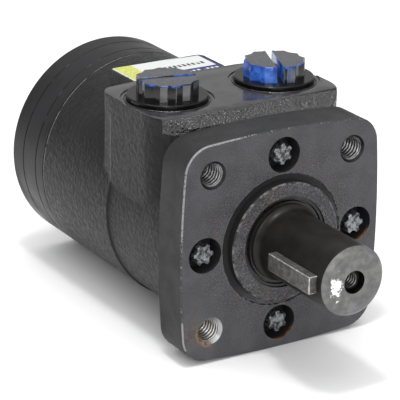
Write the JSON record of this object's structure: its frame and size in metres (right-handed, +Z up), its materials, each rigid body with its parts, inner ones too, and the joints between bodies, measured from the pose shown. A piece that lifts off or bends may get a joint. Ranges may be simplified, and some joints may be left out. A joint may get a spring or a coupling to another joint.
{
  "type": "hydraulic motor",
  "caption": "Hydraulic roller orbit motor with a square mounting flange, a round pilot, a keyed straight shaft and two plugged ports on top of a black casting.",
  "frame": {"origin": "centre of the pilot on the mounting face of the square flange", "axes": "-Y along the shaft towards its tip, +Z up through the port pad, +X to the right seen from the shaft end"},
  "size_m": [0.0832, 0.1747, 0.0939],
  "materials": {
    "black_casting": "semi-gloss black paint over a fine casting",
    "black_flange": "thin black paint, sandy grain on the machined face",
    "black_plate": "semi-gloss black paint over turned steel",
    "bare_screw_steel": "mottled bare steel",
    "bolt_steel": "black painted bolts",
    "bare_steel": "ground steel",
    "shaft_steel": "black oxide with a bare turned end",
    "key_steel": "drawn key steel",
    "seal_rubber": "matt black",
    "plug_rubber": "glossy black with overspray",
    "plug_plastic": "blue plastic with black overspray",
    "label_paper": "printed label"
  },
  "bodies": {
    "motor_body": {"housing": "black_casting", "mounting_flange": "black_flange", "flange_screws": "bare_screw_steel", "exclusion_seal": "seal_rubber", "shaft_seal": "seal_rubber", "backup_washer": "bare_steel", "gland_washer": "bare_steel", "flange_seal": "seal_rubber", "thrust_race": "bare_steel", "spacer_plate": "black_plate", "roller_ring": "black_plate", "end_cap": "black_plate", "end_cap_bolts": "bolt_steel", "housing_face_seal": "seal_rubber", "plate_face_seal": "seal_rubber", "cap_face_seal": "seal_rubber", "nameplate": "label_paper"},
    "shaft": {"output_shaft": "shaft_steel", "shaft_key": "key_steel"},
    "thrust_bearing": {"thrust_cage": "bare_steel", "thrust_needles": "bare_steel"},
    "orbit": {"drive_spacer": "bare_steel"},
    "star": {"rotor_star": "bare_steel"},
    "link": {"drive_link": "bare_steel"},
    "plug_ring_left": {"plug_seal_left": "plug_rubber"},
    "plug_left": {"port_plug_left": "plug_plastic"},
    "plug_ring_right": {"plug_seal_right": "plug_rubber"},
    "plug_right": {"port_plug_right": "plug_plastic"},
    "roller_1": {"roller_1": "bare_steel"},
    "roller_2": {"roller_2": "bare_steel"},
    "roller_3": {"roller_3": "bare_steel"},
    "roller_4": {"roller_4": "bare_steel"},
    "roller_5": {"roller_5": "bare_steel"},
    "roller_6": {"roller_6": "bare_steel"},
    "roller_7": {"roller_7": "bare_steel"}
  },
  "joints": [
    {"name": "shaft_spin", "type": "hinge", "parent": "motor_body", "child": "shaft", "pos_m": [0, 0, 0], "axis": [0, -1, 0], "continuous": true},
    {"name": "thrust_cage_spin", "type": "hinge", "parent": "motor_body", "child": "thrust_bearing", "pos_m": [0, 0.01818, 0], "axis": [0, -1, 0], "continuous": true},
    {"name": "star_orbit", "type": "hinge", "parent": "motor_body", "child": "orbit", "pos_m": [0, 0.114, 0], "axis": [0, -1, 0], "continuous": true},
    {"name": "star_turn", "type": "hinge", "parent": "orbit", "child": "star", "pos_m": [0, 0.114, 0.0026], "axis": [0, -1, 0], "continuous": true},
    {"name": "link_turn", "type": "hinge", "parent": "orbit", "child": "link", "pos_m": [0, 0.052, 0], "axis": [0, -0.9991, -0.0418], "continuous": true},
    {"name": "roller_1_spin", "type": "hinge", "parent": "motor_body", "child": "roller_1", "pos_m": [0, 0.114, 0.0265], "axis": [0, -1, 0], "continuous": true},
    {"name": "roller_2_spin", "type": "hinge", "parent": "motor_body", "child": "roller_2", "pos_m": [-0.02072, 0.114, 0.01652], "axis": [0, -1, 0], "continuous": true},
    {"name": "roller_3_spin", "type": "hinge", "parent": "motor_body", "child": "roller_3", "pos_m": [-0.02584, 0.114, -0.0059], "axis": [0, -1, 0], "continuous": true},
    {"name": "roller_4_spin", "type": "hinge", "parent": "motor_body", "child": "roller_4", "pos_m": [-0.0115, 0.114, -0.02388], "axis": [0, -1, 0], "continuous": true},
    {"name": "roller_5_spin", "type": "hinge", "parent": "motor_body", "child": "roller_5", "pos_m": [0.0115, 0.114, -0.02388], "axis": [0, -1, 0], "continuous": true},
    {"name": "roller_6_spin", "type": "hinge", "parent": "motor_body", "child": "roller_6", "pos_m": [0.02584, 0.114, -0.0059], "axis": [0, -1, 0], "continuous": true},
    {"name": "roller_7_spin", "type": "hinge", "parent": "motor_body", "child": "roller_7", "pos_m": [0.02072, 0.114, 0.01652], "axis": [0, -1, 0], "continuous": true},
    {"name": "plug_left_lift", "type": "slide", "parent": "motor_body", "child": "plug_ring_left", "axis": [0, 0, 1], "range_m": [0, 0.016]},
    {"name": "plug_left_turn", "type": "hinge", "parent": "plug_ring_left", "child": "plug_left", "pos_m": [-0.0228, 0.042, 0.0444], "axis": [0, 0, 1], "range_deg": [0, 3179]},
    {"name": "plug_right_lift", "type": "slide", "parent": "motor_body", "child": "plug_ring_right", "axis": [0, 0, 1], "range_m": [0, 0.016]},
    {"name": "plug_right_turn", "type": "hinge", "parent": "plug_ring_right", "child": "plug_right", "pos_m": [0.0228, 0.042, 0.0444], "axis": [0, 0, 1], "range_deg": [0, 3179]}
  ],
  "couplings": [
    {"joint": "thrust_cage_spin", "follows": "shaft_spin", "ratio": 0.5},
    {"joint": "star_orbit", "follows": "shaft_spin", "ratio": -6},
    {"joint": "star_turn", "follows": "shaft_spin", "ratio": 7},
    {"joint": "link_turn", "follows": "shaft_spin", "ratio": 7},
    {"joint": "plug_left_turn", "follows": "plug_left_lift", "rad_per_m": 3463.2},
    {"joint": "plug_right_turn", "follows": "plug_right_lift", "rad_per_m": 3463.2}
  ]
}
